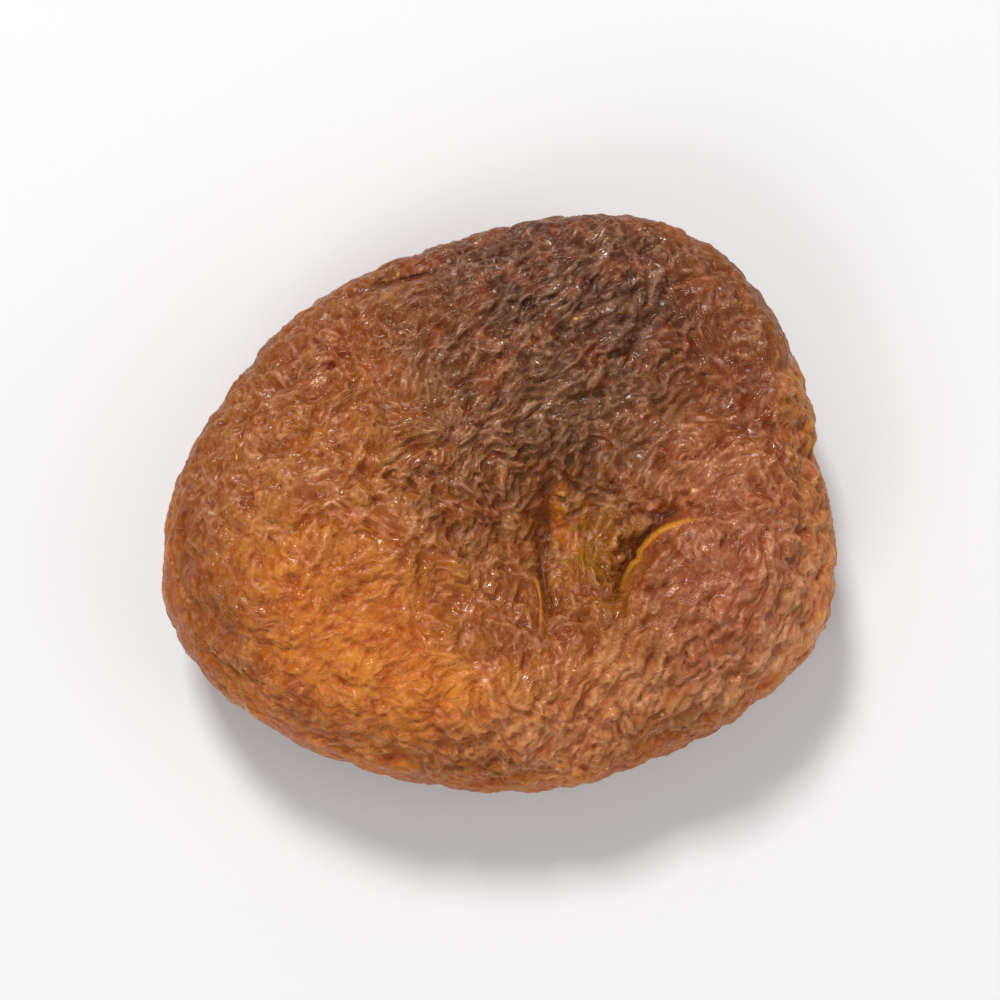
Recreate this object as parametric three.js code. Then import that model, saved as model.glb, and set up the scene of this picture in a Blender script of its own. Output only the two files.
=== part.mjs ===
// A whole dried apricot: the stone has been squeezed out, the flesh has sunk where it was, and the fruit
// has been pressed into a thick, soft-edged disc. It grew as one piece, so it is one solid.
// Millimetres, +Z up. The origin is on the small flat spot that the fruit rests on, under the middle of
// its outline. +X runs along the longest line across the fruit to the notch at its stem end, and the
// sunken side faces up.

import * as THREE from 'three';
import { mergeVertices } from 'three/addons/utils/BufferGeometryUtils.js';

// Driving dimensions, in millimetres.
const LENGTH = 39;            // across the fruit, along X
const WIDTH = 33;             // across the fruit, along Y
const EQUATOR_HEIGHT = 5.4;   // height of its widest line above the surface it rests on
const CROWN_HEIGHT = 6.9;     // from the widest line up to the unsunken top
const SOLE_DEPTH = 5.4;       // from the widest line down to the underside
const PRESSED_FLAT = 0.2;     // how far the resting spot was pressed in

// Radii of the plan outline every 20 degrees from +X, turning towards +Y, scaled to LENGTH and WIDTH.
const OUTLINE = [
  18.9, 18.7, 19.1, 18.3, 16.3, 15.1,
  15.1, 15.9, 17.0, 18.8, 20.0, 18.8,
  17.3, 16.5, 16.7, 17.1, 18.5, 19.9,
];
const OUTLINE_LENGTH = 38.9;
const OUTLINE_WIDTH = 32.7;

// The widest line isn't level: waves round the rim, each with its count, its rise and its first crest in
// degrees from +X.
const RIM_WAVES = [
  { count: 2, rise: 0.55, crest: 40 },
  { count: 3, rise: 0.3, crest: 100 },
];

// How square the meridian is from the middle to the rim: 2 is an ellipse, and more is boxier.
const CROWN_SQUARENESS = 2.5;
const SOLE_SQUARENESS = 2.2;

// Broad soft swellings and hollows of the upper side: centre, the two radii, the turn of the first radius
// from +X in degrees, and the height at the middle.
const UPPER_FORMS = [
  { at: [4.6, -1.6], radii: [7.6, 5.6], turn: 35, height: -3.5 },     // the hollow left by the stone
  { at: [5.0, -2.6], radii: [2.7, 3.4], turn: 10, height: -1.1 },     // its floor
  { at: [1.5, 7.2], radii: [7.5, 3.6], turn: -8, height: -0.9 },      // sunken shoulder beyond the hollow
  { at: [-9.5, -2.0], radii: [8.0, 8.5], turn: 0, height: 0.9 },      // the full cheek
  { at: [12.6, -5.2], radii: [4.2, 5.0], turn: 30, height: 0.9 },     // the cheek behind the lip
  { at: [15.6, 7.2], radii: [3.4, 2.2], turn: 118, height: 0.8 },     // the rolled edge by the stem end
  { at: [1.0, -11.0], radii: [7.5, 2.8], turn: 3, height: 0.45 },     // the near edge
  { at: [-3.5, 11.0], radii: [6.0, 2.4], turn: 12, height: 0.35 },    // the far edge
];

// Broad forms of the underside, where a positive height stands out downwards.
const LOWER_FORMS = [
  { at: [9.5, 4.5], radii: [4.6, 3.8], turn: 25, height: -0.9 },
  { at: [-10.0, 3.0], radii: [5.5, 4.2], turn: -20, height: -0.7 },
  { at: [-6.0, -8.5], radii: [6.0, 3.2], turn: 20, height: 0.4 },
  { at: [7.0, -8.0], radii: [5.5, 3.4], turn: -25, height: -0.5 },
];

// Folds in the skin, each along a curve in plan. The furrow sinks on the curve, and the lip rises beside
// it, on the right of the curve as it runs.
const UPPER_FOLDS = [
  { path: [[6.4, -6.6], [7.1, -4.2], [8.8, -1.9], [12.4, -0.6]], furrow: 1.1, lip: 0.75, width: 1.2 },
  { path: [[3.1, 3.2], [2.9, 0.2], [2.4, -4.0], [2.5, -8.2]], furrow: 0.75, lip: -0.15, width: 0.9 },
  { path: [[8.4, 12.6], [11.3, 9.9], [13.0, 6.7], [14.6, 2.6]], furrow: 1.0, lip: -0.5, width: 1.7 },
  { path: [[-10.4, 10.2], [-6.6, 12.3], [-2.2, 13.0]], furrow: 0.45, lip: 0.35, width: 0.8 },
  { path: [[-5.0, -13.6], [1.0, -13.5], [6.6, -11.4], [11.4, -7.8]], furrow: 0.4, lip: -0.2, width: 1.0 },
  { path: [[-18.5, 0.2], [-18.0, -4.0], [-15.8, -8.0]], furrow: 0.4, lip: 0.25, width: 0.8 },
  { path: [[-1.5, 1.5], [-5.0, 1.2], [-9.5, 2.6]], furrow: 0.35, lip: 0.15, width: 1.3 },
  { path: [[0.0, -4.4], [-3.6, -6.0], [-8.4, -6.6]], furrow: 0.3, lip: 0.12, width: 1.3 },
  { path: [[5.2, 3.6], [6.6, 7.0], [6.2, 10.6]], furrow: 0.4, lip: 0.2, width: 1.2 },
];
const LOWER_FOLDS = [
  // The seam of the fruit, from the stem end round to the tip.
  { path: [[18.2, 1.6], [11.5, 6.2], [1.0, 8.0], [-9.5, 6.0], [-17.6, 0.4]],
    furrow: 0.8, lip: 0.25, width: 1.3 },
  { path: [[-7.2, -1.0], [-10.6, -3.4], [-15.2, -4.6]], furrow: 0.5, lip: 0.25, width: 1.0 },
  { path: [[6.8, -2.6], [10.6, -3.2], [15.4, -6.6]], furrow: 0.55, lip: 0.2, width: 1.0 },
  { path: [[-1.6, -7.6], [-2.6, -10.6], [-2.0, -14.0]], furrow: 0.45, lip: 0.2, width: 1.0 },
];

// The scar of the stem, a small pit in the rim.
const STEM_SCAR = { angle: 7, height: 5.6, radius: 2.1, depth: 0.75 };

// Wrinkles: rounded ridges between sharp valleys, made by waves that cross in many directions.
const WRINKLE_WAVES = 21;
const WRINKLE_LENGTH = 4.6;
const WRINKLE_HEIGHT = 0.34;
const SOLE_SMOOTH_RADIUS = 3.5;   // the wrinkles are pressed out this near the origin

// Facets along each edge of the icosahedron that the skin is stretched over.
const MESH_DETAIL = 20;
const POLE_CROWDING = 0.13;       // how much closer together the facets are on the broad sides

const GOLDEN_RATIO = (1 + Math.sqrt(5)) / 2;

// Catmull-Rom value at t, from 0 to 1, between b and c.
function cubic(a, b, c, d, t) {
  return b + 0.5 * t * (c - a + t * (2 * a - 5 * b + 4 * c - d + t * (3 * (b - c) + d - a)));
}

function outlineRadius(angle) {
  const step = (2 * Math.PI) / OUTLINE.length;
  const place = ((angle / step) % OUTLINE.length + OUTLINE.length) % OUTLINE.length;
  const i = Math.floor(place);
  const at = (k) => OUTLINE[(i + k + OUTLINE.length) % OUTLINE.length];
  return cubic(at(-1), at(0), at(1), at(2), place - i);
}

function smoothStep(low, high, x) {
  const t = Math.min(1, Math.max(0, (x - low) / (high - low)));
  return t * t * (3 - 2 * t);
}

// How far the widest line stands above EQUATOR_HEIGHT at an angle of the plan.
function rimRise(angle) {
  let sum = 0;
  for (const { count, rise, crest } of RIM_WAVES) {
    sum += rise * Math.cos(count * (angle - THREE.MathUtils.degToRad(crest)));
  }
  return sum;
}

// Height that the broad forms add at a point of the plan.
function formsHeight(forms, x, y) {
  let sum = 0;
  for (const { at, radii, turn, height } of forms) {
    const a = THREE.MathUtils.degToRad(turn);
    const dx = x - at[0];
    const dy = y - at[1];
    const u = (dx * Math.cos(a) + dy * Math.sin(a)) / radii[0];
    const v = (dy * Math.cos(a) - dx * Math.sin(a)) / radii[1];
    sum += height * Math.exp(-(u * u + v * v));
  }
  return sum;
}

// The curve of a fold, as closely spaced points with their share of its length.
function foldLine({ path }) {
  const corners = path.map(([x, y]) => new THREE.Vector3(x, y, 0));
  const curve = new THREE.CatmullRomCurve3(corners, false, 'centripetal');
  const steps = 12 * (path.length - 1);
  return curve.getPoints(steps).map((p, i) => ({ x: p.x, y: p.y, share: i / steps }));
}

// Height that one fold adds. The side is positive on the right of the curve.
function foldHeight(fold, line, x, y) {
  let near = Infinity;
  let side = 0;
  let share = 0;
  for (let i = 1; i < line.length; i++) {
    const a = line[i - 1];
    const b = line[i];
    const ux = b.x - a.x;
    const uy = b.y - a.y;
    const t = Math.min(1, Math.max(0, ((x - a.x) * ux + (y - a.y) * uy) / (ux * ux + uy * uy)));
    const dx = x - a.x - t * ux;
    const dy = y - a.y - t * uy;
    const distance = Math.hypot(dx, dy);
    if (distance < near) {
      near = distance;
      side = Math.sign(dx * uy - dy * ux);
      share = a.share + t * (b.share - a.share);
    }
  }
  const reach = near / fold.width;
  const taper = Math.sin(Math.PI * Math.min(1, Math.max(0, 0.04 + 0.92 * share)));
  const lipReach = side * reach - 1.5;
  return taper * (fold.lip * Math.exp(-lipReach * lipReach) - fold.furrow * Math.exp(-reach * reach));
}

// A smooth field about 1 high, made of waves of nearly one length that run in evenly spread directions.
function waveField(p, waveLength) {
  let sum = 0;
  for (let k = 0; k < WRINKLE_WAVES; k++) {
    const up = 1 - (2 * k + 1) / WRINKLE_WAVES;
    const out = Math.sqrt(1 - up * up);
    const turn = 2 * Math.PI * k / GOLDEN_RATIO;
    const length = waveLength * (0.8 + 0.4 * ((k * Math.SQRT2) % 1));
    const along = out * Math.cos(turn) * p.x + out * Math.sin(turn) * p.y + up * p.z;
    sum += Math.cos(2 * Math.PI * (along / length + (k * GOLDEN_RATIO * GOLDEN_RATIO) % 1));
  }
  return sum * Math.sqrt(2 / WRINKLE_WAVES);
}

// The fruit before it wrinkled, from a direction on the unit sphere.
function smoothSkin(n, upperLines, lowerLines) {
  const turn = Math.atan2(n.y, n.x);
  const polar = Math.acos(THREE.MathUtils.clamp(n.z, -1, 1));
  const even = polar - POLE_CROWDING * Math.sin(2 * polar);
  const s = Math.sin(even);
  const c = Math.cos(even);
  const upper = c > 0;
  const squareness = upper ? CROWN_SQUARENESS : SOLE_SQUARENESS;
  const stretch = (Math.abs(s) ** squareness + Math.abs(c) ** squareness) ** (-1 / squareness);
  const radius = outlineRadius(turn) * stretch * s;
  const x = radius * Math.cos(turn) * (LENGTH / OUTLINE_LENGTH);
  const y = radius * Math.sin(turn) * (WIDTH / OUTLINE_WIDTH);
  const fade = smoothStep(0.12, 0.62, Math.abs(c) * stretch);
  const forms = upper ? UPPER_FORMS : LOWER_FORMS;
  const folds = upper ? UPPER_FOLDS : LOWER_FOLDS;
  const lines = upper ? upperLines : lowerLines;
  let relief = formsHeight(forms, x, y);
  folds.forEach((fold, i) => {
    relief += foldHeight(fold, lines[i], x, y);
  });
  const half = (upper ? CROWN_HEIGHT : SOLE_DEPTH + PRESSED_FLAT) * stretch * Math.abs(c) + fade * relief;
  const middle = EQUATOR_HEIGHT + rimRise(turn) * (stretch * s) ** 2;
  return new THREE.Vector3(x, y, middle + (upper ? half : -half));
}

function apricotGeometry() {
  const sphere = new THREE.IcosahedronGeometry(1, MESH_DETAIL - 1);
  sphere.deleteAttribute('normal');
  sphere.deleteAttribute('uv');
  const skin = mergeVertices(sphere, 1e-5);
  const position = skin.getAttribute('position');
  const upperLines = UPPER_FOLDS.map(foldLine);
  const lowerLines = LOWER_FOLDS.map(foldLine);
  const point = new THREE.Vector3();
  for (let i = 0; i < position.count; i++) {
    const p = smoothSkin(point.fromBufferAttribute(position, i), upperLines, lowerLines);
    position.setXYZ(i, p.x, p.y, p.z);
  }
  skin.computeVertexNormals();
  const normal = skin.getAttribute('normal');
  const scarTurn = THREE.MathUtils.degToRad(STEM_SCAR.angle);
  const scar = new THREE.Vector3(outlineRadius(scarTurn), 0, STEM_SCAR.height);
  scar.applyAxisAngle(new THREE.Vector3(0, 0, 1), scarTurn);
  const outward = new THREE.Vector3();
  for (let i = 0; i < position.count; i++) {
    point.fromBufferAttribute(position, i);
    outward.fromBufferAttribute(normal, i);
    const offSole = smoothStep(SOLE_SMOOTH_RADIUS, 2 * SOLE_SMOOTH_RADIUS, point.length());
    const share = point.z < EQUATOR_HEIGHT ? offSole : 1;
    const wrinkle = WRINKLE_HEIGHT * (Math.min(1, Math.abs(waveField(point, WRINKLE_LENGTH))) - 0.5);
    const scarReach = point.distanceTo(scar) / STEM_SCAR.radius;
    const pit = STEM_SCAR.depth * Math.exp(-scarReach * scarReach);
    point.addScaledVector(outward, share * wrinkle - pit);
    position.setXYZ(i, point.x, point.y, Math.max(0, point.z));
  }
  skin.deleteAttribute('normal');
  skin.computeVertexNormals();
  return skin;
}

const driedSkin = new THREE.MeshStandardMaterial({ color: 0xa4623a, roughness: 0.55, metalness: 0 });

const apricot = new THREE.Mesh(apricotGeometry(), driedSkin);
apricot.name = 'dried_apricot';

const part = new THREE.Group();
part.add(apricot);

export default part;
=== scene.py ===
# A whole dried apricot, unsulphured and pitted, lying on a pale floor and seen from above.
# Lengths here are in millimetres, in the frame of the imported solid, and MM turns them into metres.

import math

import bmesh
import bpy
import numpy as np
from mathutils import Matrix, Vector, kdtree


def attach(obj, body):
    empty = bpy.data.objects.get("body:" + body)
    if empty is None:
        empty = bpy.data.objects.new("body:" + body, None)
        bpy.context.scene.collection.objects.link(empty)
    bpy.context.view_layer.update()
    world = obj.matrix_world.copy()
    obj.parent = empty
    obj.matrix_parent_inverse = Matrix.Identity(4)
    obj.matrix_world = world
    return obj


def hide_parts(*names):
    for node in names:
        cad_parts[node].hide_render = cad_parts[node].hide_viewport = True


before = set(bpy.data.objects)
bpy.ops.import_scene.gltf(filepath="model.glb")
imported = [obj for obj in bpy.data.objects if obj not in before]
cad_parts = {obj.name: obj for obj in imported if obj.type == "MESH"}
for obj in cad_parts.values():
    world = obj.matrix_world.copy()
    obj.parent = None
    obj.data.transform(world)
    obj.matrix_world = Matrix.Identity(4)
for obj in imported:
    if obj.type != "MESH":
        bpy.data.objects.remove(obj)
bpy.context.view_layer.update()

MM = 0.001
GOLDEN_RATIO = (1 + math.sqrt(5)) / 2

# The fruit's driving dimensions and broad forms, as in the solid.
LENGTH = 39
WIDTH = 33
EQUATOR_HEIGHT = 5.4
CROWN_HEIGHT = 6.9
SOLE_DEPTH = 5.4
PRESSED_FLAT = 0.2
CROWN_SQUARENESS = 2.5
SOLE_SQUARENESS = 2.2

# Radii of the plan outline every 20 degrees from +X, turning towards +Y, scaled to LENGTH and WIDTH.
OUTLINE = [
    18.9, 18.7, 19.1, 18.3, 16.3, 15.1,
    15.1, 15.9, 17.0, 18.8, 20.0, 18.8,
    17.3, 16.5, 16.7, 17.1, 18.5, 19.9,
]
OUTLINE_LENGTH = 38.9
OUTLINE_WIDTH = 32.7

# Waves of the widest line: count, rise, first crest in degrees from +X.
RIM_WAVES = [(2, 0.55, 40), (3, 0.3, 100)]

# Broad swellings and hollows: centre, the two radii, turn of the first radius in degrees, height.
UPPER_FORMS = [
    ((4.6, -1.6), (7.6, 5.6), 35, -3.5),     # the hollow left by the stone
    ((5.0, -2.6), (2.7, 3.4), 10, -1.1),     # its floor
    ((1.5, 7.2), (7.5, 3.6), -8, -0.9),      # sunken shoulder beyond the hollow
    ((-9.5, -2.0), (8.0, 8.5), 0, 0.9),      # the full cheek
    ((12.6, -5.2), (4.2, 5.0), 30, 0.9),     # the cheek behind the lip
    ((15.6, 7.2), (3.4, 2.2), 118, 0.8),     # the rolled edge by the stem end
    ((1.0, -11.0), (7.5, 2.8), 3, 0.45),     # the near edge
    ((-3.5, 11.0), (6.0, 2.4), 12, 0.35),    # the far edge
]
LOWER_FORMS = [
    ((9.5, 4.5), (4.6, 3.8), 25, -0.9),
    ((-10.0, 3.0), (5.5, 4.2), -20, -0.7),
    ((-6.0, -8.5), (6.0, 3.2), 20, 0.4),
    ((7.0, -8.0), (5.5, 3.4), -25, -0.5),
]

# Folds: a curve in plan, the depth of the furrow on it, the height of the lip on its right, and the width
# of both.
UPPER_FOLDS = [
    (((6.2, -6.4), (6.9, -4.2), (8.5, -1.9), (12.2, -0.6)), 1.3, 0.9, 0.9),
    (((3.1, 3.2), (2.9, 0.2), (2.4, -4.0), (2.5, -8.2)), 0.75, -0.15, 0.9),
    (((8.4, 12.6), (11.3, 9.9), (13.0, 6.7), (14.6, 2.6)), 1.0, -0.5, 1.7),
    (((-10.4, 10.2), (-6.6, 12.3), (-2.2, 13.0)), 0.45, 0.35, 0.8),
    (((-5.0, -13.6), (1.0, -13.5), (6.6, -11.4), (11.4, -7.8)), 0.4, -0.2, 1.0),
    (((-18.5, 0.2), (-18.0, -4.0), (-15.8, -8.0)), 0.4, 0.25, 0.8),
    (((-1.5, 1.5), (-5.0, 1.2), (-9.5, 2.6)), 0.35, 0.15, 1.3),
    (((0.0, -4.4), (-3.6, -6.0), (-8.4, -6.6)), 0.3, 0.12, 1.3),
    (((5.2, 3.6), (6.6, 7.0), (6.2, 10.6)), 0.4, 0.2, 1.2),
]
LOWER_FOLDS = [
    (((18.2, 1.6), (11.5, 6.2), (1.0, 8.0), (-9.5, 6.0), (-17.6, 0.4)), 0.8, 0.25, 1.3),
    (((-7.2, -1.0), (-10.6, -3.4), (-15.2, -4.6)), 0.5, 0.25, 1.0),
    (((6.8, -2.6), (10.6, -3.2), (15.4, -6.6)), 0.55, 0.2, 1.0),
    (((-1.6, -7.6), (-2.6, -10.6), (-2.0, -14.0)), 0.45, 0.2, 1.0),
]

# Creases in the upper skin: a curve in plan, depth, width and how strongly painted shade darkens it.
CREASES = [
    # lip
    (((6.4, -6.2), (6.62, -5.1), (7.08, -4.0), (7.74, -2.88), (8.6, -1.9), (9.9, -0.9)), 0.6, 0.32, 1.0),
    # behind it
    (((8.2, -3.6), (8.9, -2.9), (9.8, -2.3)), 0.2, 0.22, 0.5),
    # left side of the hollow
    (((3.0, 2.4), (2.8, -2.0), (2.4, -4.3), (2.8, -6.1), (2.5, -8.0)), 0.26, 0.26, 0.65),
    # foot of the hollow
    (((4.6, -8.4), (6.1, -7.3), (7.6, -6.0)), 0.25, 0.26, 0.4),
    (((3.9, -8.4), (3.5, -9.8), (3.2, -11.4)), 0.2, 0.26, 0.3),
    # stem end
    (((11.6, 0.3), (12.6, 1.0), (13.8, 1.2)), 0.25, 0.28, 0.4),
    (((11.7, 1.3), (13.2, 2.1), (14.6, 2.3)), 0.22, 0.26, 0.4),
    # furrow by the rolled edge
    (((11.6, 8.4), (12.4, 7.0), (13.8, 5.6), (14.0, 3.6)), 0.2, 0.3, 0.4),
    # far pleat
    (((-8.2, 11.7), (-5.6, 12.3), (-3.2, 12.7)), 0.5, 0.3, 0.8),
    # left rim
    (((-18.7, -2.8), (-17.8, -5.1), (-16.6, -7.0)), 0.25, 0.26, 0.3),
]

# Pinched edges that stand up thin, with a painted golden glow of light through them: a curve in plan, height,
# width and how strongly the glow is painted.
EDGES = [
    # lip
    (((6.8, -5.5), (7.35, -4.2), (8.0, -3.1), (9.0, -2.1), (10.2, -1.5), (11.8, -1.2)), 0.5, 0.2, 1.0),
    # left side of the hollow
    (((1.3, -4.4), (2.0, -4.7), (2.3, -5.7), (2.25, -7.0), (2.2, -7.9)), 0.2, 0.17, 0.7),
]

# The scar of the stem: angle in degrees, height, radius and depth.
SCAR_ANGLE = 7
SCAR_HEIGHT = 5.6
SCAR_RADIUS = 2.1
SCAR_DEPTH = 0.75

# The folds and broad forms fade in between these shares of the way from the rim to the crown.
FORMS_FROM = (0.12, 0.62)

# The painted light along the near rim, standing in for light through the thin edge and bounced up from the
# floor: where it starts across the plan and up the side, as shares, and in Y.
RIM_LIGHT_ACROSS = (0.9, 1)
RIM_LIGHT_UP = (-0.2, 0.15)
RIM_LIGHT_NEAR = (9, -9)

# Wrinkles, as rounded ridges between sharp valleys. The large ones are in the solid too.
LARGE_WAVES = 21
LARGE_LENGTH = 4.6
LARGE_HEIGHT = 0.34
LARGE_RIM_SHARE = 0.4     # of their height, on the rim
SOLE_SMOOTH_RADIUS = 3.5
MIDDLE_WAVES = 80
MIDDLE_LENGTH = 2.4
MIDDLE_HEIGHT = 0.2
MIDDLE_GRAIN = 0.6        # how much they follow the grain, against the fine ones
SMALL_WAVES = 160
SMALL_LENGTH = 0.95
SMALL_HEIGHT = 0.17
SMALL_GRAIN = 0.7
FINE_WAVES = 320
FINE_LENGTH = 0.6
FINE_HEIGHT = 0.1
WARP_LENGTH = 1.7         # the small and fine wrinkles are bent this often
WARP_SHIFT = 0.2
WARP_CALM = 0.7           # of the bending is lost where the grain is strong
WRINKLE_TOP = 1.5         # middle and small wrinkles are cut off at this share of their height
WRINKLE_MEAN = 0.6
RIM_SHARE = 0.36          # of the wrinkles' height, on the rim
RIM_SLOPES = (0.2, 0.85)  # upward shares of the skin's normal between which they gain the rest
UNDER_LOSS = 0.4          # of the height is lost on the underside
UNDER_SLOPES = (-0.1, -0.6)
CREASE_CALM = 0.85        # how calm the skin is beside a crease, where an edge has 1
CALM_LOSS = 0.85          # of the height is lost in calm skin
CALM_REACH = 1.7          # of the calm skin, in widths of its crease or edge
STRONGER_LENGTH = 5.0     # the finest relief is stronger in patches about this far apart
STRONGER_FROM = 0.5       # between this share and 1

# Short dashes strewn over the skin: how many, ranges of their half lengths and half widths, and a seed.
THREADS = (11000, (0.35, 1.0), (0.09, 0.14), 1)
RIDGES = (3200, (0.6, 1.3), (0.15, 0.22), 4)    # broader threads, where the wrinkles are high
PITS = (5000, (0.25, 0.6), (0.12, 0.2), 2)
SPECKS = (45, (0.12, 0.25), (0.1, 0.16), 3)     # tiny golden ones
THREAD_HEIGHT = 0.1
RIDGE_HEIGHT = 0.2
RIDGE_ZONES = (1.05, 1.35)  # heights of the wrinkles between which the ridges come in
PIT_DEPTH = 0.11
DASH_BEND = 0.35          # bend of a dash, per millimetre
DASH_LEVELS = (0.3, 1.0)  # a dash has a share of the height between these
DASH_GRAIN = 0.8          # how much a dash keeps to the grain where that is strong
DASH_SINK = 0.07          # the skin between the dashes lies this much lower, so that the fruit keeps its size

# The fine wrinkles run one way for a few millimetres and then another. In some places they all run one way,
# and are higher or lower: centre, radius, direction in degrees from +X, strength, height.
GRAIN_WANDER = 3.4
GRAIN_WAVES = 30
GRAIN_STRENGTH = 0.5
GRAIN = [
    ((3.0, 10.0), 7.5, 38, 1.0, 1.34),      # far shoulder
    ((12.0, 2.0), 5.0, 30, 0.5, 1.0),       # stem end
    ((11.5, -8.5), 6.0, 62, 0.9, 1.25),     # near right edge
    ((4.5, -10.5), 5.0, 75, 0.5, 1.0),      # below the lip
    ((-7.5, 0.5), 5.0, 30, 0.2, 1.2),       # full cheek
    ((-8.5, -9.5), 6.0, 15, 0.3, 0.55),     # its foot
    ((-17.5, -6.0), 4.0, 110, 0.3, 0.5),    # left rim
]
GRAIN_SELECTION = 7.0     # how strongly the grain picks waves that cross it

# The finest threads are in the material, in three directions: degrees from +X, spacing and stretch.
THREAD_TURNS = (25, 85, 145)
THREAD_SPACING = 0.55
THREAD_STRETCH = 2.4
THREAD_LINE = 0.09        # width of a thread, as a share of the noise that it is drawn with
THREAD_LEVEL = 0.85       # how strong the threads of each direction are, and how much the grain changes it
THREAD_GRAIN = 0.6

# Facets: the icosahedron's edges are cut this often, and more of them go to the broad sides and the top.
SPHERE_SPLITS = 98
POLE_CROWDING = 0.13
TOP_CROWDING = 0.25


def smooth_step(low, high, x):
    t = np.clip((x - low) / (high - low), 0, 1)
    return t * t * (3 - 2 * t)


def geodesic_sphere(splits):
    """Points of a unit sphere and its triangles: an icosahedron with each edge cut into splits."""
    bm = bmesh.new()
    bmesh.ops.create_icosphere(bm, subdivisions=1, radius=1)
    corners = np.array([v.co for v in bm.verts])
    faces = [[v.index for v in f.verts] for f in bm.faces]
    bm.free()
    row, column = np.array([(i, j) for i in range(splits + 1) for j in range(i + 1)]).T
    start = row * (row + 1) // 2 + column
    inner = row < splits
    below = start[inner] + row[inner] + 1
    upright = np.stack([start[inner], below, below + 1], axis=1)
    between = column[inner] < row[inner]
    hanging = np.stack([start[inner], below + 1, start[inner] + 1], axis=1)[between]
    triangles = np.concatenate([upright, hanging])
    points = []
    for a, b, c in corners[faces]:
        points.append(a + np.outer((row - column) / splits, b - a) + np.outer(column / splits, c - a))
    points = np.concatenate(points)
    points /= np.linalg.norm(points, axis=1)[:, None]
    shared, place = np.unique(points.round(6) + 0.0, axis=0, return_inverse=True)
    shared /= np.linalg.norm(shared, axis=1)[:, None]
    place = place.reshape(len(faces), -1)
    return shared, np.concatenate([p[triangles] for p in place])


def outline_radius(angle):
    """Plan radius at each angle, on a smooth closed curve through OUTLINE."""
    radii = np.array(OUTLINE)
    place = angle / (2 * math.pi) * len(radii) % len(radii)
    i = np.floor(place).astype(int)
    t = place - i
    a, b, c, d = (radii[(i + k) % len(radii)] for k in (-1, 0, 1, 2))
    return b + 0.5 * t * (c - a + t * (2 * a - 5 * b + 4 * c - d + t * (3 * (b - c) + d - a)))


def rim_rise(angle):
    return sum(rise * np.cos(count * (angle - math.radians(crest))) for count, rise, crest in RIM_WAVES)


def forms_height(forms, x, y):
    """Height that the broad forms add at points of the plan."""
    total = np.zeros_like(x)
    for (cx, cy), (first, second), turn, height in forms:
        cos, sin = math.cos(math.radians(turn)), math.sin(math.radians(turn))
        u = ((x - cx) * cos + (y - cy) * sin) / first
        v = ((y - cy) * cos - (x - cx) * sin) / second
        total += height * np.exp(-(u * u + v * v))
    return total


def fold_line(path):
    """Closely spaced points of a smooth curve through path: a centripetal Catmull-Rom spline."""
    corners = np.array(path, float)
    padded = np.vstack([2 * corners[0] - corners[1], corners, 2 * corners[-1] - corners[-2]])
    steps = np.linspace(0, 1, 12, endpoint=False)[:, None]
    pieces = []
    for p0, p1, p2, p3 in zip(padded, padded[1:], padded[2:], padded[3:]):
        d0, d1, d2 = (math.sqrt(math.dist(p, q)) for p, q in ((p0, p1), (p1, p2), (p2, p3)))
        t1 = ((p1 - p0) / d0 - (p2 - p0) / (d0 + d1) + (p2 - p1) / d1) * d1
        t2 = ((p2 - p1) / d1 - (p3 - p1) / (d1 + d2) + (p3 - p2) / d2) * d1
        second = 3 * (p2 - p1) - 2 * t1 - t2
        third = 2 * (p1 - p2) + t1 + t2
        pieces.append(p1 + steps * (t1 + steps * (second + steps * third)))
    return np.vstack([*pieces, corners[-1:]])


def along_fold(path, x, y):
    """Distance of points from a curve in plan, positive on its right, and how strong a fold there is."""
    line = fold_line(path)
    near = np.full(x.shape, np.inf)
    side = np.zeros_like(x)
    share = np.zeros_like(x)
    for i, (a, b) in enumerate(zip(line, line[1:])):
        ux, uy = b - a
        t = np.clip(((x - a[0]) * ux + (y - a[1]) * uy) / (ux * ux + uy * uy), 0, 1)
        dx = x - a[0] - t * ux
        dy = y - a[1] - t * uy
        distance = np.hypot(dx, dy)
        nearer = distance < near
        near = np.where(nearer, distance, near)
        side = np.where(nearer, np.sign(dx * uy - dy * ux), side)
        share = np.where(nearer, (i + t) / (len(line) - 1), share)
    return side * near, np.sin(math.pi * np.clip(0.04 + 0.92 * share, 0, 1))


def folds_height(folds, x, y):
    total = np.zeros_like(x)
    for path, furrow, lip, width in folds:
        distance, taper = along_fold(path, x, y)
        reach = distance / width
        total += taper * (lip * np.exp(-(reach - 1.5) ** 2) - furrow * np.exp(-reach * reach))
    return total


def pinches(curves, x, y):
    """Thin ridges along curves in plan: their height, how strongly they are tinted, and how near they are."""
    height = np.zeros_like(x)
    tint = np.zeros_like(x)
    nearness = np.zeros_like(x)
    for path, rise, width, strength in curves:
        margin = 6 * width
        low, high = np.min(path, axis=0) - margin, np.max(path, axis=0) + margin
        close = (x > low[0]) & (x < high[0]) & (y > low[1]) & (y < high[1])
        distance, taper = along_fold(path, x[close], y[close])
        ridge = np.sqrt(taper) * np.exp(-(distance / width) ** 2)
        height[close] += rise * ridge
        tint[close] = np.maximum(tint[close], strength * ridge)
        nearness[close] = np.maximum(nearness[close], np.exp(-(distance / (CALM_REACH * width)) ** 2))
    return height, tint, nearness


def wave_turns(count, k, phase):
    """Direction and starting phase of one of count waves that run in evenly spread directions."""
    up = 1 - (2 * k + 1) / count
    out = math.sqrt(1 - up * up)
    turn = 2 * math.pi * k / GOLDEN_RATIO
    return np.array([out * math.cos(turn), out * math.sin(turn), up]), (k * GOLDEN_RATIO ** 2 + phase) % 1


def wave_field(points, length, count):
    """A smooth field about 1 high, made of waves of nearly one length in evenly spread directions."""
    total = np.zeros(len(points))
    for k in range(count):
        direction, start = wave_turns(count, k, phase=0)
        this_length = length * (0.8 + 0.4 * (k * math.sqrt(2) % 1))
        total += np.cos(2 * math.pi * (points @ direction / this_length + start))
    return total * math.sqrt(2 / count)


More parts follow.
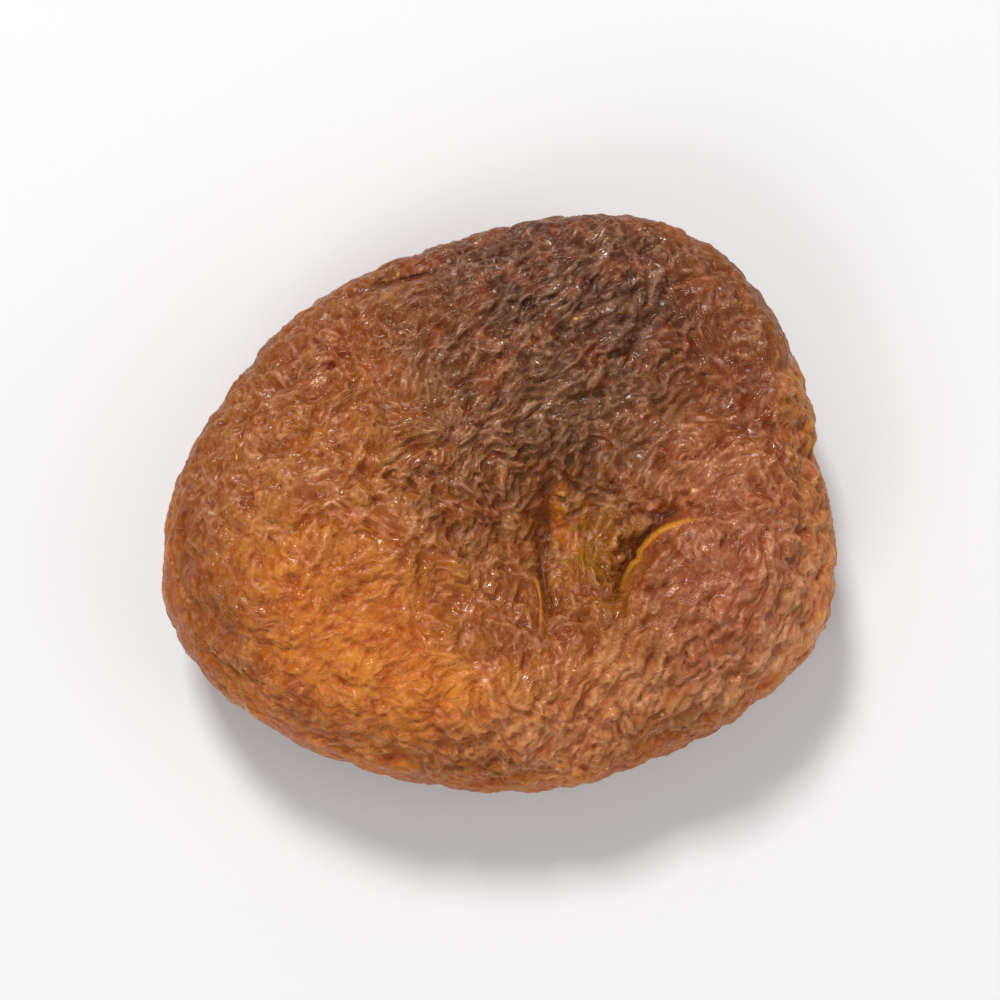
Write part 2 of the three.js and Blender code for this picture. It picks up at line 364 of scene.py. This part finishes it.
def skin_field(points, normals, grain, length, count, phase):
    """A field about 1 high, of waves that run along the skin, and mostly across the grain."""
    total = np.zeros(len(points))
    power = np.zeros(len(points))
    for k in range(count):
        direction, start = wave_turns(count, k, phase)
        this_length = length * 2 ** (k * math.sqrt(2) % 1 - 0.35)
        along_skin = 1 - (normals @ direction) ** 2
        weight = along_skin ** 2 * np.exp(-GRAIN_SELECTION * (grain @ direction) ** 2)
        total += weight * np.cos(2 * math.pi * (points @ direction / this_length + start))
        power += weight ** 2
    return total * np.sqrt(2 / power)


def vertex_normals(points, triangles):
    """Normals of the skin at its points, and each point's share of the area."""
    a, b, c = (points[triangles[:, i]] for i in range(3))
    face = np.cross(b - a, c - a)
    total = np.zeros_like(points)
    for i in range(3):
        for axis in range(3):
            total[:, axis] += np.bincount(triangles[:, i], face[:, axis], len(points))
    size = np.linalg.norm(total, axis=1)
    return total / size[:, None], size / size.sum()


def strew_dashes(tree, points, normals, area, grain, count, reach, width, seed):
    """How strongly points lie on one of count short bent dashes, which tend to run with the grain."""
    random = np.random.default_rng(seed)
    centres = random.choice(len(points), count, p=area)
    spread = random.normal(size=(count, 3))
    spread /= np.linalg.norm(spread, axis=1)[:, None]
    strength = np.linalg.norm(grain[centres], axis=1)[:, None]
    along = spread * (1 - DASH_GRAIN * strength) + grain[centres] * np.sign(random.normal(size=(count, 1)))
    along -= normals[centres] * np.sum(along * normals[centres], axis=1)[:, None]
    along /= np.linalg.norm(along, axis=1)[:, None]
    across = np.cross(normals[centres], along)
    halves = random.uniform(*reach, count)
    widths = random.uniform(*width, count)
    bends = random.normal(0, DASH_BEND, count)
    levels = random.uniform(*DASH_LEVELS, count)
    total = np.zeros(len(points))
    for i, centre in enumerate(centres):
        near = [hit[1] for hit in tree.find_range(points[centre], halves[i] + widths[i])]
        offset = points[near] - points[centre]
        u = offset @ along[i] / halves[i]
        v = (offset @ across[i] - bends[i] * (u * halves[i]) ** 2) / widths[i]
        total[near] = np.maximum(total[near], levels[i] * np.exp(-v * v) * np.clip(1 - u * u, 0, 1))
    return total


def grain_vectors(points):
    """Direction of the fine wrinkles at each point, as long as the grain is strong, and their height."""
    wander = [wave_field(points + shift, GRAIN_WANDER, GRAIN_WAVES) for shift in (0, 3 * GRAIN_WANDER)]
    double = GRAIN_STRENGTH * np.stack(wander, axis=1)
    height = np.ones(len(points))
    for (cx, cy), radius, turn, strength, zone_height in GRAIN:
        share = np.exp(-((points[:, 0] - cx) ** 2 + (points[:, 1] - cy) ** 2) / radius ** 2)
        share *= smooth_step(EQUATOR_HEIGHT - 2, EQUATOR_HEIGHT + 2, points[:, 2])
        across = [math.cos(math.radians(2 * turn)), math.sin(math.radians(2 * turn))]
        double += 1.5 * strength * share[:, None] * across
        height *= 1 + share * (zone_height - 1)
    turn = np.arctan2(double[:, 1], double[:, 0]) / 2
    strength = np.minimum(1, np.hypot(*double.T))
    grain = np.stack([strength * np.cos(turn), strength * np.sin(turn), np.zeros(len(points))], axis=1)
    return grain, height


def smooth_skin(directions):
    """The fruit before it wrinkled, from directions on the unit sphere, and where its folds are."""
    turn = np.arctan2(directions[:, 1], directions[:, 0])
    polar = np.arccos(np.clip(directions[:, 2], -1, 1))
    polar = polar - TOP_CROWDING * np.sin(polar)
    even = polar - POLE_CROWDING * np.sin(2 * polar)
    s, c = np.sin(even), np.cos(even)
    upper = c > 0
    squareness = np.where(upper, CROWN_SQUARENESS, SOLE_SQUARENESS)
    stretch = (np.abs(s) ** squareness + np.abs(c) ** squareness) ** (-1 / squareness)
    radius = outline_radius(turn) * stretch * s
    x = radius * np.cos(turn) * (LENGTH / OUTLINE_LENGTH)
    y = radius * np.sin(turn) * (WIDTH / OUTLINE_WIDTH)
    fade = smooth_step(*FORMS_FROM, np.abs(c) * stretch)
    relief = np.zeros_like(x)
    folds = np.zeros_like(x)
    sides = (upper, UPPER_FORMS, UPPER_FOLDS), (~upper, LOWER_FORMS, LOWER_FOLDS)
    for where, some_forms, some_folds in sides:
        folds[where] = folds_height(some_folds, x[where], y[where])
        relief[where] = forms_height(some_forms, x[where], y[where]) + folds[where]
    crease_depth, crease, by_crease = pinches(CREASES, x, y)
    edge_height, edge, by_edge = pinches(EDGES, x, y)
    relief += upper * (edge_height - crease_depth)
    depth = np.where(upper, CROWN_HEIGHT, SOLE_DEPTH + PRESSED_FLAT)
    half = depth * stretch * np.abs(c) + fade * relief
    z = EQUATOR_HEIGHT + rim_rise(turn) * (stretch * s) ** 2 + np.where(upper, half, -half)
    values = {
        "fold": -fade * folds,
        "crease": fade * upper * crease,
        "edge": fade * upper * edge,
        "calm": fade * upper * np.maximum(CREASE_CALM * by_crease, by_edge),
        "rim": smooth_step(*RIM_LIGHT_ACROSS, stretch * s) * smooth_step(*RIM_LIGHT_UP, c),
    }
    # The painted rim light is kept to the near side of the fruit.
    values["rim"] *= smooth_step(*RIM_LIGHT_NEAR, y)
    return np.stack([x, y, z], axis=1), values


def scar_nearness(points):
    """1 in the middle of the scar of the stem, falling to 0 round it."""
    turn = math.radians(SCAR_ANGLE)
    radius = float(outline_radius(np.array([turn]))[0])
    scar = np.array([radius * math.cos(turn), radius * math.sin(turn), SCAR_HEIGHT])
    reach = np.linalg.norm(points - scar, axis=1) / SCAR_RADIUS
    return np.exp(-reach * reach)


def slope_share(normals):
    """Share of the wrinkles' height on each slope: less on the sides, and less again on the underside."""
    upward = normals[:, 2]
    share = RIM_SHARE + (1 - RIM_SHARE) * smooth_step(*RIM_SLOPES, np.abs(upward))
    return share * (1 - UNDER_LOSS * smooth_step(*UNDER_SLOPES, upward))


def bend_points(points, strength):
    """Points moved to and fro, so that wrinkles made from them wind, and less where the grain is strong."""
    shifts = [wave_field(points + i * WARP_LENGTH, WARP_LENGTH, LARGE_WAVES) for i in range(3)]
    return points + WARP_SHIFT * (1 - WARP_CALM * strength)[:, None] * np.stack(shifts, axis=1)


def level_wrinkles(field):
    """Wrinkles with their tops cut off, about as much over the skin as under it."""
    return np.minimum(field, WRINKLE_TOP) - WRINKLE_MEAN


def search_tree(points):
    tree = kdtree.KDTree(len(points))
    for i, point in enumerate(points):
        tree.insert(point, i)
    tree.balance()
    return tree


def wrinkled_skin():
    """Points, triangles and named values of the whole skin, in millimetres."""
    directions, triangles = geodesic_sphere(SPHERE_SPLITS)
    points, values = smooth_skin(directions)
    normals, _ = vertex_normals(points, triangles)
    scar = scar_nearness(points)
    off_sole = smooth_step(SOLE_SMOOTH_RADIUS, 2 * SOLE_SMOOTH_RADIUS, np.linalg.norm(points, axis=1))
    share = np.where(points[:, 2] < EQUATOR_HEIGHT, off_sole, 1)
    rim_share = slope_share(normals)
    calm = 1 - CALM_LOSS * values.pop("calm")
    grain, zone_height = grain_vectors(points)
    strength = np.linalg.norm(grain, axis=1)
    bent = bend_points(points, strength)

    large = np.minimum(1, np.abs(wave_field(points, LARGE_LENGTH, LARGE_WAVES))) - 0.5
    middle = np.abs(skin_field(points, normals, MIDDLE_GRAIN * grain, MIDDLE_LENGTH, MIDDLE_WAVES, phase=0.3))
    small = np.abs(skin_field(bent, normals, SMALL_GRAIN * grain, SMALL_LENGTH, SMALL_WAVES, phase=0.5))
    height = LARGE_HEIGHT * (LARGE_RIM_SHARE + (1 - LARGE_RIM_SHARE) * rim_share) * large
    height += rim_share * calm * zone_height * (
        MIDDLE_HEIGHT * level_wrinkles(middle) + SMALL_HEIGHT * level_wrinkles(small))
    points = points + normals * (share * height - SCAR_DEPTH * scar)[:, None]

    normals, area = vertex_normals(points, triangles)
    fine = skin_field(bent, normals, grain, FINE_LENGTH, FINE_WAVES, phase=0.7)
    stronger = smooth_step(-1.5, 1.5, wave_field(points, STRONGER_LENGTH, LARGE_WAVES))
    stronger = STRONGER_FROM + (1 - STRONGER_FROM) * stronger
    tree = search_tree(points)
    thread, ridge, hole, speck = (strew_dashes(tree, points, normals, area, grain, *dashes)
                                  for dashes in (THREADS, RIDGES, PITS, SPECKS))
    ridge *= smooth_step(*RIDGE_ZONES, zone_height)
    relief = FINE_HEIGHT * np.clip(fine, -1.5, 1.5) / 2 + THREAD_HEIGHT * thread - PIT_DEPTH * hole
    calmer = np.minimum(1, zone_height)
    relief = stronger * calmer * relief + RIDGE_HEIGHT * ridge - DASH_SINK
    points = points + normals * (rim_share * calm * relief)[:, None]
    points[:, 2] = np.maximum(0, points[:, 2])
    turn = np.arctan2(grain[:, 1], grain[:, 0])
    sides = [np.cos(2 * (turn - math.radians(thread_turn))) for thread_turn in THREAD_TURNS]
    values["grain"] = np.clip(THREAD_LEVEL + THREAD_GRAIN * strength * np.array(sides), 0, 1).T
    values["thread"] = rim_share * np.maximum(calmer * thread, ridge)
    values.update(small=small, middle=middle, hole=hole, speck=speck, scar=scar)
    return points, triangles, values


def make_mesh(name, points, triangles, values):
    mesh = bpy.data.meshes.new(name)
    mesh.from_pydata((points * MM).tolist(), [], triangles.tolist())
    mesh.shade_smooth()
    for value_name, data in values.items():
        kind, field = ("FLOAT", "value") if data.ndim == 1 else ("FLOAT_VECTOR", "vector")
        attribute = mesh.attributes.new(value_name, kind, "POINT")
        attribute.data.foreach_set(field, data.astype(np.float32).ravel())
    piece = bpy.data.objects.new(name, mesh)
    bpy.context.scene.collection.objects.link(piece)
    return piece


class Nodes:
    """Short ways to add and link the nodes of one material."""

    def __init__(self, name):
        self.material = bpy.data.materials.new(name)
        self.material.use_nodes = True
        self.tree = self.material.node_tree
        self.shader = self.tree.nodes["Principled BSDF"]

    def put(self, value, socket):
        if isinstance(value, bpy.types.NodeSocket):
            self.tree.links.new(value, socket)
        else:
            socket.default_value = value

    def add(self, kind, settings=None, **inputs):
        node = self.tree.nodes.new(kind)
        for name, value in (settings or {}).items():
            setattr(node, name, value)
        for name, value in inputs.items():
            self.put(value, node.inputs[name.replace("_", " ")])
        return node

    def math(self, operation, a, b=0.0):
        node = self.add("ShaderNodeMath", {"operation": operation})
        self.put(a, node.inputs[0])
        self.put(b, node.inputs[1])
        return node.outputs[0]

    def ramp(self, value, low, high, to_low=0.0, to_high=1.0):
        node = self.add("ShaderNodeMapRange", {"interpolation_type": "SMOOTHSTEP"}, Value=value)
        node.inputs["From Min"].default_value = low
        node.inputs["From Max"].default_value = high
        node.inputs["To Min"].default_value = to_low
        node.inputs["To Max"].default_value = to_high
        return node.outputs[0]

    def mix(self, factor, first, second, blend="MIX"):
        node = self.add("ShaderNodeMix", {"data_type": "RGBA", "blend_type": blend})
        self.put(factor, node.inputs[0])
        self.put(first, node.inputs[6])
        self.put(second, node.inputs[7])
        return node.outputs[2]

    def shift(self, tint, shares):
        """A tint with its red, green and blue multiplied by shares."""
        return self.mix(1.0, tint, (*shares, 1), "MULTIPLY")

    def value(self, name):
        return self.add("ShaderNodeAttribute", {"attribute_name": name}).outputs["Fac"]

    def noise(self, coordinates, size, detail=2.0, roughness=0.5):
        """Noise with features of about size millimetres."""
        return self.add("ShaderNodeTexNoise", Vector=coordinates, Scale=1 / (size * MM), Detail=detail,
                        Roughness=roughness)

    def lines(self, coordinates, size, width):
        """Winding lines in a pattern of size millimetres, with a width given as a share of the noise."""
        noise = self.noise(coordinates, size, 1.0).outputs[0]
        return self.ramp(self.math("ABSOLUTE", self.math("SUBTRACT", noise, 0.5)), 0, width, 1, 0)

    def turned(self, coordinates, turn, stretch, shift):
        """Coordinates shifted along X, and stretched in a direction in plan, in degrees from +X."""
        moved = self.add("ShaderNodeMapping", {"vector_type": "TEXTURE"}, Vector=coordinates)
        moved.inputs["Location"].default_value = shift, 0, 0
        moved.inputs["Rotation"].default_value = 0, 0, math.radians(turn)
        moved.inputs["Scale"].default_value = stretch, 1, 1
        return moved.outputs[0]


def colour(red, green, blue):
    """A colour given as on a screen, from 0 to 255, as linear light for a shader."""
    def linear(level):
        share = level / 255
        return share / 12.92 if share <= 0.04045 else ((share + 0.055) / 1.055) ** 2.4
    return linear(red), linear(green), linear(blue), 1.0


# Tints of the skin.
AMBER = colour(218, 132, 42)
ORANGE_BROWN = colour(154, 92, 30)
RED_BROWN = colour(138, 76, 26)
BRICK = colour(122, 48, 6)
RUST = colour(170, 74, 10)
MAROON = colour(74, 35, 24)
GREY_BROWN = colour(88, 57, 32)
OLIVE_GOLD = colour(152, 104, 2)
ROSE_BROWN = colour(164, 97, 66)
TAN = colour(206, 140, 60)
# Paler threads: partly the skin's own colour, partly painted sheen.
PALE_AND_SHEEN = colour(234, 176, 130)
ROSE_TAN = colour(206, 146, 98)
# Painted glow of light through the thin pinched edges.
EDGE_GLOW_GOLD = colour(230, 156, 50)
SPECK_GOLD = colour(250, 196, 104)

# Shares of red, green and blue that are left of the tint at each mark in the skin.
MOTTLE_SHIFT = (0.74, 0.5, 0.32)
# Darker and deeper between the wrinkles: partly the skin's own colour there, partly painted shade.
VALLEY_TONE_AND_SHADE_SHIFT = (0.8, 0.54, 0.36)      # between wrinkles
PIT_SHIFT = (0.7, 0.45, 0.3)
# Paler on the threads: partly the skin's own colour, partly painted sheen.
THREAD_PALE_AND_SHEEN_SHIFT = (2.2, 2.2, 2.4)
# Painted light on the near rim, for light through the thin edge and bounced up from the floor.
RIM_LIGHT_SHIFT = (1.5, 1.35, 0.75)
# Painted shade in the folds; the scar of the stem is darkened with the same shares.
FOLD_SHIFT = (0.5, 0.28, 0.15)
# Painted shade in the creases.
CREASE_SHADE_SHIFT = (0.36, 0.18, 0.07)

# Patches of tint on the upper side: centre, the two radii, turn in degrees, tint, strength.
PATCHES = [
    ((-7.5, -8.0), (9.5, 6.0), -28, AMBER, 0.85),          # foot of the full cheek
    ((-10.0, 1.0), (6.0, 6.0), 0, AMBER, 0.15),            # the rest of it
    ((-1.0, -12.0), (10.0, 4.0), -5, AMBER, 0.45),         # near edge
    ((4.0, 12.0), (14.0, 6.5), -10, MAROON, 0.95),         # far shoulder
    ((3.0, 4.5), (8.5, 6.5), 10, GREY_BROWN, 0.78),        # sunken middle
    ((12.5, -4.0), (6.5, 9.0), 15, ROSE_BROWN, 0.8),       # cheek behind the lip
    ((6.5, -12.0), (9.0, 3.2), 14, ROSE_TAN, 0.55),        # foot of it
    ((17.7, 4.0), (2.0, 5.6), 16, TAN, 0.75),              # rolled edge
    ((17.0, -7.0), (3.0, 6.5), -26, ROSE_TAN, 0.9),        # near right edge
    ((12.9, 6.2), (1.6, 5.0), 25, BRICK, 0.75),            # furrow by the rolled edge
    ((4.8, -2.8), (2.6, 3.6), 0, OLIVE_GOLD, 0.95),        # floor of the hollow
    ((3.4, -0.9), (0.7, 2.0), 0, AMBER, 0.75),             # streak beside the left crease
    ((-11.5, 8.0), (6.5, 4.0), 38, RED_BROWN, 0.85),       # far left shoulder
    ((11.5, 10.5), (3.6, 3.0), -30, RED_BROWN, 0.7),       # far right one
    ((-18.0, -3.0), (2.6, 8.0), 0, RED_BROWN, 0.6),        # left rim
    ((2.4, -7.8), (2.6, 2.4), 0, RED_BROWN, 0.6),          # below the hollow
    ((9.2, -4.6), (1.6, 3.2), -35, RED_BROWN, 0.7),        # behind the lip
]
PATCH_HEIGHT = 12.0      # of the middle of the patches, so that they stay off the underside
PATCH_DEPTH = 9.0
PATCH_EDGE = (1.4, 0.2)  # in radii of a patch, where its tint starts and is full
PATCH_WANDER = 9.0       # how far the edges of the patches wander
PATCH_WANDER_SIZE = 6.0


def fine_threads(nodes, place):
    """Short crossing threads, from 0 to 1, that are stronger along the grain."""
    grain = nodes.add("ShaderNodeSeparateXYZ")
    stored = nodes.add("ShaderNodeAttribute", {"attribute_name": "grain"})
    nodes.put(stored.outputs["Vector"], grain.inputs[0])
    threads = 0.0
    for i, turn in enumerate(THREAD_TURNS):
        line = nodes.lines(nodes.turned(place, turn, THREAD_STRETCH, 0), THREAD_SPACING, THREAD_LINE)
        break_up = nodes.noise(nodes.turned(place, 0, 1, i + 1), THREAD_SPACING, 1.0).outputs[0]
        broken = nodes.math("MULTIPLY", line, nodes.ramp(break_up, 0.44, 0.6))
        threads = nodes.math("MAXIMUM", threads, nodes.math("MULTIPLY", broken, grain.outputs[i]))
    return threads


def patch_colour(nodes, place):
    """The tint of each patch, with wandering edges."""
    wander = nodes.noise(place, PATCH_WANDER_SIZE, 3.0)
    offset = nodes.add("ShaderNodeVectorMath", {"operation": "SUBTRACT"})
    nodes.put(wander.outputs["Color"], offset.inputs[0])
    nodes.put((0.5, 0.5, 0.5), offset.inputs[1])
    moved = nodes.add("ShaderNodeVectorMath", {"operation": "MULTIPLY_ADD"})
    nodes.put(offset.outputs[0], moved.inputs[0])
    nodes.put((PATCH_WANDER * MM, PATCH_WANDER * MM, 0), moved.inputs[1])
    nodes.put(place, moved.inputs[2])
    tint = ORANGE_BROWN
    for (x, y), (first, second), turn, patch_tint, strength in PATCHES:
        local = nodes.add("ShaderNodeMapping", {"vector_type": "TEXTURE"}, Vector=moved.outputs[0])
        local.inputs["Location"].default_value = x * MM, y * MM, PATCH_HEIGHT * MM
        local.inputs["Rotation"].default_value = 0, 0, math.radians(turn)
        local.inputs["Scale"].default_value = first * MM, second * MM, PATCH_DEPTH * MM
        length = nodes.add("ShaderNodeVectorMath", {"operation": "LENGTH"})
        nodes.put(local.outputs[0], length.inputs[0])
        share = nodes.ramp(length.outputs["Value"], *PATCH_EDGE, 0, strength)
        tint = nodes.mix(share, tint, patch_tint)
    return tint


def skin_colour(nodes, place, threads):
    """The patches, with mottling, with the tints of wrinkles and threads (partly painted shade and sheen) and
    of pits, with painted light on the near rim, painted shade in folds and creases, and a painted glow on the
    edges.
    """
    tint = patch_colour(nodes, place)
    mottle = nodes.noise(place, 1.6, 4.0, 0.6).outputs[0]
    tint = nodes.mix(nodes.ramp(mottle, 0.42, 0.66, 0, 0.6), tint, nodes.shift(tint, MOTTLE_SHIFT))
    blush = nodes.noise(place, 1.9, 4.0, 0.65).outputs[0]
    tint = nodes.mix(nodes.ramp(blush, 0.48, 0.66, 0, 0.3), tint, RUST)
    # Darker between the wrinkles: partly the skin's own colour there, partly painted shade.
    valley_tone_and_shade = nodes.shift(tint, VALLEY_TONE_AND_SHADE_SHIFT)
    tint = nodes.mix(nodes.ramp(nodes.value("middle"), 0.0, 0.9, 0.6, 0), tint, valley_tone_and_shade)
    tint = nodes.mix(nodes.ramp(nodes.value("small"), 0.0, 0.7, 0.9, 0), tint, valley_tone_and_shade)
    pit = nodes.shift(tint, PIT_SHIFT)
    tint = nodes.mix(nodes.ramp(nodes.value("hole"), 0.1, 0.9, 0, 0.9), tint, pit)
    # Paler threads: partly the skin's own colour, partly painted sheen.
    pale_and_sheen = nodes.mix(0.5, nodes.shift(tint, THREAD_PALE_AND_SHEEN_SHIFT), PALE_AND_SHEEN)
    tint = nodes.mix(nodes.ramp(nodes.value("thread"), 0.15, 1.1, 0, 0.6), tint, pale_and_sheen)
    tint = nodes.mix(nodes.math("MULTIPLY", threads, 0.2), tint, pale_and_sheen)
    # Painted light on the near rim.
    tint = nodes.mix(nodes.ramp(nodes.value("rim"), 0.0, 1.0, 0, 0.8), tint, nodes.shift(tint, RIM_LIGHT_SHIFT))
    # Painted shade in the folds, and darker in the scar of the stem.
    dark = nodes.shift(tint, FOLD_SHIFT)
    tint = nodes.mix(nodes.ramp(nodes.value("fold"), 0.1, 0.8, 0, 0.25), tint, dark)
    tint = nodes.mix(nodes.ramp(nodes.value("scar"), 0.3, 1.0, 0, 0.6), tint, dark)
    # Painted shade in the creases.
    crease_shade = nodes.shift(tint, CREASE_SHADE_SHIFT)
    tint = nodes.mix(nodes.ramp(nodes.value("crease"), 0.1, 0.9, 0, 0.85), tint, crease_shade)
    # Painted golden glow of light through the pinched edges.
    tint = nodes.mix(nodes.ramp(nodes.value("edge"), 0.3, 0.9, 0, 0.8), tint, EDGE_GLOW_GOLD)
    return nodes.mix(nodes.ramp(nodes.value("speck"), 0.2, 0.6, 0, 0.8), tint, SPECK_GOLD)


def apricot_material():
    nodes = Nodes("apricot_skin")
    place = nodes.add("ShaderNodeTexCoord").outputs["Object"]
    threads = fine_threads(nodes, place)
    nodes.put(skin_colour(nodes, place, threads), nodes.shader.inputs["Base Color"])
    gloss = nodes.noise(place, 1.2, 3.0, 0.6).outputs[0]
    nodes.put(nodes.ramp(gloss, 0.4, 0.64, 0.42, 0.17), nodes.shader.inputs["Roughness"])
    shine = nodes.ramp(nodes.value("thread"), 0.15, 1.1, 0.26, 0.7)
    nodes.put(shine, nodes.shader.inputs["Specular IOR Level"])
    grainy = nodes.noise(place, 0.28, 3.0, 0.65).outputs[0]
    ridges = nodes.math("ADD", nodes.math("MULTIPLY", grainy, 0.6), nodes.math("MULTIPLY", threads, 1.5))
    bump = nodes.add("ShaderNodeBump", Strength=0.7, Distance=0.04 * MM, Height=ridges)
    nodes.put(bump.outputs[0], nodes.shader.inputs["Normal"])
    nodes.shader.inputs["Subsurface Weight"].default_value = 0.15
    nodes.shader.inputs["Subsurface Radius"].default_value = 1.0, 0.45, 0.2
    nodes.shader.inputs["Subsurface Scale"].default_value = 0.8 * MM
    return nodes.material


def pale_floor():
    bpy.ops.mesh.primitive_plane_add(size=2.0)
    floor = bpy.context.object
    floor.name = "pale_floor"
    nodes = Nodes("pale_floor")
    nodes.shader.inputs["Base Color"].default_value = 0.9, 0.9, 0.9, 1
    nodes.shader.inputs["Roughness"].default_value = 0.9
    nodes.shader.inputs["Specular IOR Level"].default_value = 0.1
    floor.data.materials.append(nodes.material)
    return floor


def look_direction(azimuth, elevation):
    """Direction from the fruit at an azimuth and elevation in degrees: 0, 0 is towards -Y."""
    a, e = math.radians(azimuth), math.radians(elevation)
    return Vector((math.sin(a) * math.cos(e), -math.cos(a) * math.cos(e), math.sin(e)))


def soft_light(name, azimuth, elevation, distance, size, power):
    """A square area light that looks at the fruit, with distance and size in metres and power in watts."""
    back = look_direction(azimuth, elevation)
    light = bpy.data.lights.new(name, "AREA")
    light.size = size
    light.energy = power
    lamp = bpy.data.objects.new(name, light)
    lamp.location = back * distance
    lamp.rotation_euler = back.to_track_quat("Z", "Y").to_euler()
    bpy.context.scene.collection.objects.link(lamp)


def look_from(azimuth, elevation, target, distance, lens):
    """The camera, with target and distance in metres."""
    back = look_direction(azimuth, elevation)
    camera = bpy.data.objects.new("camera", bpy.data.cameras.new("camera"))
    camera.data.lens = lens
    camera.data.clip_start = 0.01
    camera.location = Vector(target) + back * distance
    camera.rotation_euler = back.to_track_quat("Z", "Y").to_euler()
    bpy.context.scene.collection.objects.link(camera)
    bpy.context.scene.camera = camera


def white_world(strength):
    world = bpy.data.worlds.new("studio")
    world.use_nodes = True
    background = world.node_tree.nodes["Background"]
    background.inputs["Color"].default_value = 1, 1, 1, 1
    background.inputs["Strength"].default_value = strength
    bpy.context.scene.world = world


look_from(azimuth=0, elevation=86, target=(0, 0, 0.006), distance=0.16, lens=100)
pale_floor()
soft_light("key", azimuth=-162, elevation=52, distance=0.6, size=0.12, power=2.3)
soft_light("front", azimuth=-35, elevation=42, distance=0.7, size=0.35, power=1.1)
soft_light("side", azimuth=80, elevation=42, distance=0.7, size=0.4, power=0.6)
white_world(0.34)
bpy.context.scene.view_settings.view_transform = "Standard"

apricot = make_mesh("wrinkled_apricot", *wrinkled_skin())
apricot.data.materials.append(apricot_material())
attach(apricot, "root")
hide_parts("dried_apricot")
